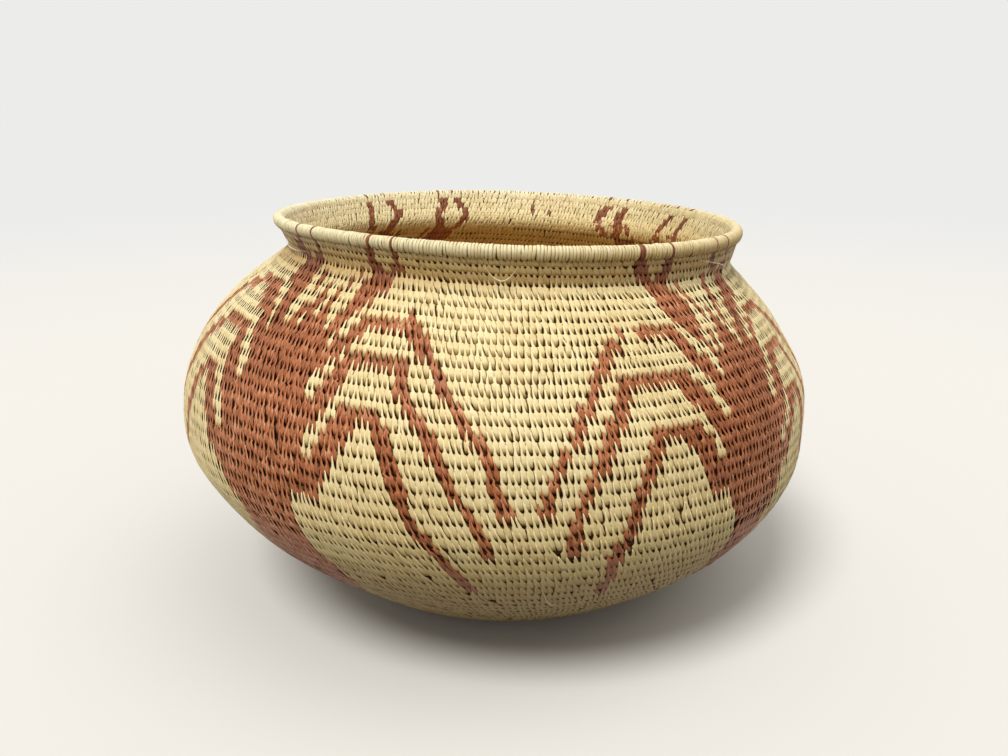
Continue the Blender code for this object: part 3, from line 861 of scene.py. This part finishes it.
def rim_line_index(azimuth):
    """The number of the figure whose lines each wrap of the rim belongs to, or -1."""
    found = np.full(len(azimuth), -1)
    for index, lines in enumerate(RIM_LINES):
        for degrees, wraps in lines:
            found[np.argsort(np.abs(degrees_past(azimuth, degrees)))[:wraps]] = index
    return found


def plug(tree, node, sockets):
    """Give a node's sockets their values, or links from the outputs of other nodes."""
    for name, value in sockets.items():
        if isinstance(value, bpy.types.NodeSocket):
            tree.links.new(value, node.inputs[name])
        else:
            node.inputs[name].default_value = value
    return node.outputs


def add(tree, kind, sockets, **settings):
    """The outputs of a new shader node."""
    node = tree.nodes.new("ShaderNode" + kind)
    for name, value in settings.items():
        setattr(node, name, value)
    return plug(tree, node, sockets)


def add_math(tree, operation, *values):
    return add(tree, "Math", dict(enumerate(values)), operation=operation)[0]


def add_ramp(tree, value, ramp):
    """The colour at a value on a ramp of (position, red, green, blue)."""
    node = tree.nodes.new("ShaderNodeValToRGB")
    elements = node.color_ramp.elements
    while len(elements) < len(ramp):
        elements.new(0.5)
    for element, (position, *colour) in zip(elements, ramp):
        element.position = position
        element.color = (*colour, 1.0)
    return plug(tree, node, {0: value})[0]


def multiply(tree, first, second):
    """One colour times another."""
    return add(tree, "Mix", {0: 1.0, 6: first, 7: second}, data_type="RGBA", blend_type="MULTIPLY")[2]


def new_material(name):
    material = bpy.data.materials.new(name)
    material.use_nodes = True
    return material, material.node_tree


def fibre_material(name, ramp, toe_shade_ramp, age_and_shade_ramp, least_rough, contrast):
    """Split fibre: a tone for each strand, streaks along it, slow ageing over the basket,
    painted shade in the toes and along the edges, and a ramp by height of browning and painted shade.
    """
    material, tree = new_material(name)
    grain = add(tree, "Attribute", {}, attribute_name="grain")
    tone, across, along = add(tree, "SeparateColor", {0: grain["Color"]})

    side = add_math(tree, "MULTIPLY", across, STREAKS_ACROSS)
    side = add_math(tree, "MULTIPLY_ADD", grain["Alpha"], STREAKS_APART, side)
    down = add_math(tree, "MULTIPLY", along, STREAKS_ALONG)
    streak_place = add(tree, "CombineXYZ", {0: side, 1: down})[0]
    streaks = add(tree, "TexNoise", {"Scale": 1.7, "Detail": 3.0, "Vector": streak_place})["Fac"]
    place = add(tree, "TexCoord", {})["Object"]
    ageing = add(tree, "TexNoise", {"Scale": 16.0, "Detail": 3.0, "Vector": place})["Fac"]

    mixed = add_math(tree, "MULTIPLY_ADD", streaks, contrast, RAMP_START - 0.5 * contrast)
    mixed = add_math(tree, "MULTIPLY_ADD", ageing, AGEING_SHARE, mixed)
    mixed = add_math(tree, "MULTIPLY_ADD", tone, TONE_SHARE, mixed)
    colour = add_ramp(tree, mixed, ramp)
    # Painted shade: darker down each toe into its hole, and along the long edges between strands.
    colour = multiply(tree, colour, add_ramp(tree, along, toe_shade_ramp))
    colour = multiply(tree, colour, add_ramp(tree, across, EDGE_SHADE_RAMP))
    # A ramp by height that holds browning and painted shade.
    height = add(tree, "SeparateXYZ", {0: place})["Z"]
    level = add(tree, "MapRange", {"From Max": AGE_AND_SHADE_HEIGHT, "Value": height}, clamp=True)[0]
    colour = multiply(tree, colour, add_ramp(tree, level, age_and_shade_ramp))

    rough = {"To Min": least_rough, "To Max": least_rough + ROUGHNESS_RANGE, "Value": streaks}
    plug(tree, tree.nodes["Principled BSDF"], {
        "Base Color": colour,
        "Roughness": add(tree, "MapRange", rough, clamp=True)[0],
        "Normal": add(tree, "Bump", {"Strength": 0.35, "Distance": 0.00012, "Height": streaks})[0],
        "Specular IOR Level": 0.35,
    })
    return material


def bundle_material():
    """The grass stems of the coil, seen only down in the holes; their dark brown is partly their own colour
    and partly painted shade of the holes.
    """
    material, tree = new_material("grass_bundle")
    grain = add(tree, "Attribute", {}, attribute_name="grain")
    stretched = add(tree, "Mapping", {"Scale": (1.0, 14.0, 0.5), "Vector": grain["Color"]})[0]
    stems = add(tree, "TexNoise", {"Scale": 3.0, "Detail": 2.0, "Vector": stretched})["Fac"]
    colour = add_ramp(tree, stems, BUNDLE_RAMP)
    plug(tree, tree.nodes["Principled BSDF"], {"Base Color": colour, "Roughness": 0.8})
    return material


# A strand's streaks: how many lie across and along it, and how far apart each strand's own ones lie.
STREAKS_ACROSS = 1.9
STREAKS_ALONG = 1.4
STREAKS_APART = 190.0
# The place on a strand's ramp: where it starts, and the shares of the slow ageing and of the tone.
RAMP_START = 0.115
AGEING_SHARE = 0.55
TONE_SHARE = 0.22
ROUGHNESS_RANGE = 0.22
# The height in metres where the ramps of ageing and painted shade end.
AGE_AND_SHADE_HEIGHT = 0.16
EVEN_RAMP = [(0, 1, 1, 1), (1, 1, 1, 1)]
# The bundle's brown, darkened as painted shade of the holes it is seen through.
BUNDLE_RAMP = [(0.3, 0.10, 0.044, 0.011), (0.75, 0.28, 0.14, 0.045)]
# A strand's two long edges are darker than its crown: painted shade between neighbouring strands.
EDGE_SHADE_RAMP = [(0.02, 0.64, 0.58, 0.5), (0.15, 1, 1, 1), (0.85, 1, 1, 1), (0.98, 0.64, 0.58, 0.5)]
NATURAL_RAMP = [
    (0.1, 0.62, 0.49, 0.26), (0.38, 0.83, 0.74, 0.47), (0.62, 0.92, 0.87, 0.61), (0.9, 0.97, 0.95, 0.77),
]
DYED_RAMP = [
    (0.06, 0.15, 0.038, 0.008), (0.4, 0.34, 0.11, 0.038), (0.64, 0.51, 0.19, 0.082),
    (0.92, 0.8, 0.44, 0.27),
]
# Painted shade: a stitch darkens down its toe into the hole under the row above, natural and dyed alike.
TOE_SHADE_RAMP = [
    (0.09, 0.17, 0.1, 0.032), (0.17, 0.5, 0.37, 0.19), (0.36, 0.94, 0.91, 0.84), (0.6, 0.96, 0.94, 0.9),
    (0.68, 1, 1, 1),
]
DYED_TOE_SHADE_RAMP = [(0.10, 0.38, 0.15, 0.05), (0.22, 0.66, 0.46, 0.34), (0.40, 1, 1, 1)]
# The fibre is darker and browner towards the base, partly browned and partly painted shade of the underside;
# a step where the belly turns under and a dark band in the neck under the rim are painted shade; it is
# palest on the rim.
AGE_AND_SHADE_RAMP = [
    (0, 0.57, 0.43, 0.25), (0.24, 0.7, 0.56, 0.38), (0.33, 0.8, 0.65, 0.44), (0.37, 0.98, 0.86, 0.62),
    (0.55, 1, 0.91, 0.75), (0.75, 1, 0.93, 0.79), (0.885, 1, 0.94, 0.8), (0.915, 0.74, 0.57, 0.38),
    (0.955, 0.8, 0.66, 0.46), (0.98, 1, 1, 1),
]
# Inside, the fibre is darker and browner down in the bowl and palest near the rim, as painted shade inside
# the basket with some browning.
INNER_SHADE_AND_AGE_RAMP = [
    (0, 0.85, 0.62, 0.34), (0.8, 0.96, 0.74, 0.43), (0.87, 0.97, 0.8, 0.5), (0.91, 0.96, 0.88, 0.72),
    (0.98, 0.97, 0.94, 0.9),
]
# The dyed fibre is darker towards the base and in the neck and on the rim: painted shade of the underside
# and under the rim, with some browning at the base.
DYED_AGE_AND_SHADE_RAMP = [
    (0, 0.66, 0.56, 0.44), (0.25, 0.8, 0.72, 0.62), (0.36, 1, 0.95, 0.88), (0.88, 1, 0.96, 0.9),
    (0.915, 0.56, 0.5, 0.44), (0.955, 0.6, 0.54, 0.48), (0.99, 0.66, 0.6, 0.54),
]
FIBRE = (NATURAL_RAMP, TOE_SHADE_RAMP)
DYED_FIBRE = (DYED_RAMP, DYED_TOE_SHADE_RAMP)
NATURAL = fibre_material("natural_fibre_strands", *FIBRE, AGE_AND_SHADE_RAMP, least_rough=0.42, contrast=0.85)
INNER = fibre_material("inner_fibre_strands", *FIBRE, INNER_SHADE_AND_AGE_RAMP, least_rough=0.45, contrast=0.7)
DYED = fibre_material("dyed_fibre_strands", *DYED_FIBRE, DYED_AGE_AND_SHADE_RAMP, least_rough=0.36, contrast=1.5)
STRAY = fibre_material("stray_fibre", *FIBRE, EVEN_RAMP, least_rough=0.42, contrast=0.7)
BUNDLE = bundle_material()

# Thin fibres that stand off the stitches, as (degrees, course, lift) along each.
STRAY_FIBRES = [
    [(-5.1, 53, 0.2), (-3.9, 52.3, 1.6), (-2.1, 51.9, 2.6), (-0.2, 52.3, 2.2), (1.4, 53.1, 0.3)],
    [(45, 53.6, 1.2), (49.3, 53.3, 2.2), (54.3, 52.9, 2.8), (60, 51.9, 2.4), (67.5, 50.8, 0.4)],
    [(-67.7, 52.7, 0.6), (-63.5, 52.1, 1.8), (-59.3, 51.9, 1.8), (-55, 51.8, 0.3)],
    [(7.4, 26.9, 0.2), (8.6, 25.3, 1.4), (11.2, 23.5, 0.2)],
]
STRAY_RADIUS = 0.19
STRAY_PASSES = 8
STRAY_STEPS = 6
STRAY_CORNERS = 5
STRAY_GRAIN = 0.8
# A fibre is full over its middle, then thins out by this rule down to this share.
STRAY_TAPER = (1.2, 1.1)
STRAY_LEAST = 0.3
# The turn where the lowest of them lies.
LOW_FIBRE_TURN = 25
OUTER_PIECES = [
    ("base_stitches", 1, 16), ("lower_wall_stitches", 17, 23), ("under_belly_stitches", 24, 29),
    ("belly_stitches", 30, 35), ("upper_belly_stitches", 36, 41), ("shoulder_stitches", 42, 48),
    ("neck_stitches", 49, TURNS),
]
INNER_PIECES = [
    ("inner_floor_stitches", 1, 23), ("inner_lower_stitches", 24, 34), ("inner_belly_stitches", 35, 46),
    ("inner_neck_stitches", 47, TURNS),
]
FIGURE_NAMES = ["left_figure", "right_figure", "back_right_figure", "back_left_figure"]
ZONES = [("base_turn", BASE_TURNS), ("lower_wall_turn", LOWER_WALL_TURNS), ("shoulder_turn", SHOULDER_TURNS)]


def node_names(turns):
    """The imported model's names of some turns of the coil."""
    names = []
    for turn in turns:
        zone = next((zone for zone, last in ZONES if turn <= last), "neck_turn")
        names.append(f"{zone}_{turn:02d}")
    return names


def stray_batches():
    """The thin fibres that stand off the stitches."""
    batches = []
    for line in STRAY_FIBRES:
        knots = np.array(line)
        fine = np.linspace(0.0, len(knots) - 1.0, STRAY_STEPS * len(knots))
        degrees, course, lift = (np.interp(fine, np.arange(len(knots)), column) for column in knots.T)
        for values in (course, lift):
            for _ in range(STRAY_PASSES):
                values[1:-1] = 0.5 * values[1:-1] + 0.25 * (values[:-2] + values[2:])
        azimuth = FRONT + np.radians(degrees)
        middle = on_wall(azimuth, course, lift, 0.0)
        side_u = unit(on_wall(azimuth, course, lift + 1.0, 0.0) - middle)
        side_v = unit(np.cross(side_u, np.gradient(middle, axis=0)))
        full, end = STRAY_TAPER
        taper = np.clip(full - np.abs(np.linspace(-end, end, len(fine))), STRAY_LEAST, 1.0)
        radii = (STRAY_RADIUS * taper, STRAY_RADIUS * taper)
        batches.append(tube_batch(middle, *radii, side_u, side_v, STRAY_CORNERS, STRAY_GRAIN, 0.5))
    return batches


def stitch_batches(wanted, side, rng):
    """The batches of the wanted stitches on one side of the wall."""
    turn = STITCHES["turn"]
    if side < 0:
        kinds = [(INNER_STITCH, turn < NECK_TURN)]
    else:
        natural = FIGURE_OF < 0
        kinds = [
            (LOWER_STITCH, turn < FIRST_BELLY_TURN),
            (BODY_STITCH, natural & (turn >= FIRST_BODY_TURN) & (turn < NECK_TURN)),
            (DYED_STITCH, (turn >= FIRST_BELLY_TURN) & (turn < NECK_TURN) & ~natural),
            (NECK_STITCH, turn >= NECK_TURN),
        ]
        for number in range(FIRST_BELLY_TURN, FIRST_BODY_TURN):
            share = max(0, number - LAST_BELLY_TURN) / (FIRST_BODY_TURN - LAST_BELLY_TURN)
            between = (1.0 - share) * np.array(BELLY_STITCH) + share * np.array(BODY_STITCH)
            kinds.append((between, natural & (turn == number)))
    batches = []
    for stations, kept in kinds:
        chosen = np.nonzero(wanted & kept)[0]
        if len(chosen):
            restless = DYED_RESTLESS if stations is DYED_STITCH else 1.0
            batches.append(strand_points(STITCHES, chosen, stations, side, rng, on_wall, restless))
    return batches


def inner_neck_batch(figure, rng):
    chosen = np.nonzero(INNER_NECK_FIGURE == figure)[0]
    return strand_points(INNER_NECK_STITCHES, chosen, INNER_NECK_STITCH, 1, rng, on_inner_neck)


def build_basket():
    rng = np.random.default_rng(SEED + 2)
    turn = STITCHES["turn"]
    for pieces, side, material in ((OUTER_PIECES, 1, NATURAL), (INNER_PIECES, -1, INNER)):
        for name, first, last in pieces:
            batches = stitch_batches((FIGURE_OF < 0) & (turn >= first) & (turn <= last), side, rng)
            if side < 0 and first == 1:
                batches.append(knot_batch())
            if side < 0 and last == TURNS:
                batches.append(inner_neck_batch(-1, rng))
            strand_piece(name, batches, material, node_names(range(first, last + 1)))

    points, grain, azimuth = rim_wraps()
    wrap_figure = rim_line_index(azimuth)
    wraps = wrap_figure < 0
    batches = [(points[wraps], grain[wraps], True)]
    strand_piece("rim_wrapping", batches, NATURAL, ["rim_binding"])

    for index, name in enumerate(FIGURE_NAMES):
        wanted = FIGURE_OF == index
        batches = stitch_batches(wanted, 1, rng) + stitch_batches(wanted, -1, rng)
        wraps = wrap_figure == index
        batches.append((points[wraps], grain[wraps], True))
        if (INNER_NECK_FIGURE == index).any():
            batches.append(inner_neck_batch(index, rng))
        strand_piece(name, batches, DYED, node_names(sorted(set(turn[wanted].tolist()))))

    replaced = node_names((TURNS, LOW_FIBRE_TURN))
    strand_piece("stray_fibres", stray_batches(), STRAY, replaced)
    replaced = ["start_knot", "rim_coil"]
    strand_piece("foundation_coil", foundation_batches(), BUNDLE, replaced)


build_basket()


def background_ray(tree):
    """1 for a ray that looks at the background, straight or in a reflection, and 0 for other light."""
    path = add(tree, "LightPath", {})
    looks = path["Is Camera Ray"]
    for kind in ("Is Glossy Ray", "Is Transmission Ray"):
        looks = add_math(tree, "MAXIMUM", looks, path[kind])
    return looks


# The floor, which the camera sees pale and whose far part runs into the background.
FLOOR_SIDE = 12.0
FADE_FROM = 0.35
FADE_TO = 1.6
PALE = (0.84, 0.84, 0.83, 1.0)
FLOOR_SEEN = (0.78, 0.78, 0.77, 1.0)
FLOOR_BOUNCED = (0.12, 0.12, 0.12, 1.0)
floor_mesh = bpy.data.meshes.new("floor")
corners = [(x * FLOOR_SIDE, y * FLOOR_SIDE, 0.0) for x, y in ((-1, -1), (1, -1), (1, 1), (-1, 1))]
floor_mesh.from_pydata(corners, [], [(0, 1, 2, 3)])
floor = bpy.data.objects.new("floor", floor_mesh)
bpy.context.scene.collection.objects.link(floor)
floor_material, tree = new_material("pale_floor")
tree.nodes.clear()
seen = add(tree, "BsdfDiffuse", {"Color": FLOOR_SEEN})[0]
far = add(tree, "Emission", {"Color": PALE})[0]
bounced = add(tree, "BsdfDiffuse", {"Color": FLOOR_BOUNCED})[0]
place = add(tree, "TexCoord", {})["Object"]
distance = add(tree, "VectorMath", {0: place}, operation="LENGTH")["Value"]
fade = {"From Min": FADE_FROM, "From Max": FADE_TO, "Value": distance}
fade = add(tree, "MapRange", fade, clamp=True, interpolation_type="SMOOTHSTEP")[0]
ground = add(tree, "MixShader", {0: fade, 1: seen, 2: far})[0]
choice = add(tree, "MixShader", {0: background_ray(tree), 1: bounced, 2: ground})[0]
add(tree, "OutputMaterial", {"Surface": choice})
floor_mesh.materials.append(floor_material)

# The light.
AMBIENT = (1.0, 0.95, 0.87, 1.0)
AMBIENT_STRENGTH = 0.42
SUN_COLOUR = (1.0, 0.97, 0.92)
world = bpy.data.worlds.new("studio")
bpy.context.scene.world = world
world.use_nodes = True
tree = world.node_tree
ambient = plug(tree, tree.nodes["Background"], {"Color": AMBIENT, "Strength": AMBIENT_STRENGTH})[0]
backdrop = add(tree, "Background", {"Color": PALE})[0]
choice = add(tree, "MixShader", {0: background_ray(tree), 1: ambient, 2: backdrop})[0]
plug(tree, tree.nodes["World Output"], {"Surface": choice})


def sun(name, azimuth, elevation, spread, strength):
    """A soft light from far away, in degrees. Azimuth 0 is the viewer's side, and 90 is the right."""
    data = bpy.data.lights.new(name, "SUN")
    data.angle = math.radians(spread)
    data.energy = strength
    data.color = SUN_COLOUR
    obj = bpy.data.objects.new(name, data)
    obj.rotation_euler = (math.radians(90.0 - elevation), 0.0, math.radians(azimuth))
    bpy.context.scene.collection.objects.link(obj)


sun("key", azimuth=-26.0, elevation=54.0, spread=22.0, strength=2.34)
sun("top", azimuth=50.0, elevation=66.0, spread=50.0, strength=0.6)

# The camera.
CAMERA_DISTANCE = 390.8
CAMERA_HEIGHT = 202.7
CAMERA_TILT = 16.44
FOCAL_PIXELS = 950.0
PHOTO_WIDTH = 1008.0
SENSOR_WIDTH = 36.0
camera_data = bpy.data.cameras.new("camera")
camera_data.sensor_width = SENSOR_WIDTH
camera_data.lens = SENSOR_WIDTH * FOCAL_PIXELS / PHOTO_WIDTH
camera_data.clip_start = 0.01
camera = bpy.data.objects.new("camera", camera_data)
camera.location = (0.0, -CAMERA_DISTANCE * MM, CAMERA_HEIGHT * MM)
camera.rotation_euler = (math.radians(90.0 - CAMERA_TILT), 0.0, 0.0)
bpy.context.scene.collection.objects.link(camera)
bpy.context.scene.camera = camera
bpy.context.scene.view_settings.view_transform = "Standard"
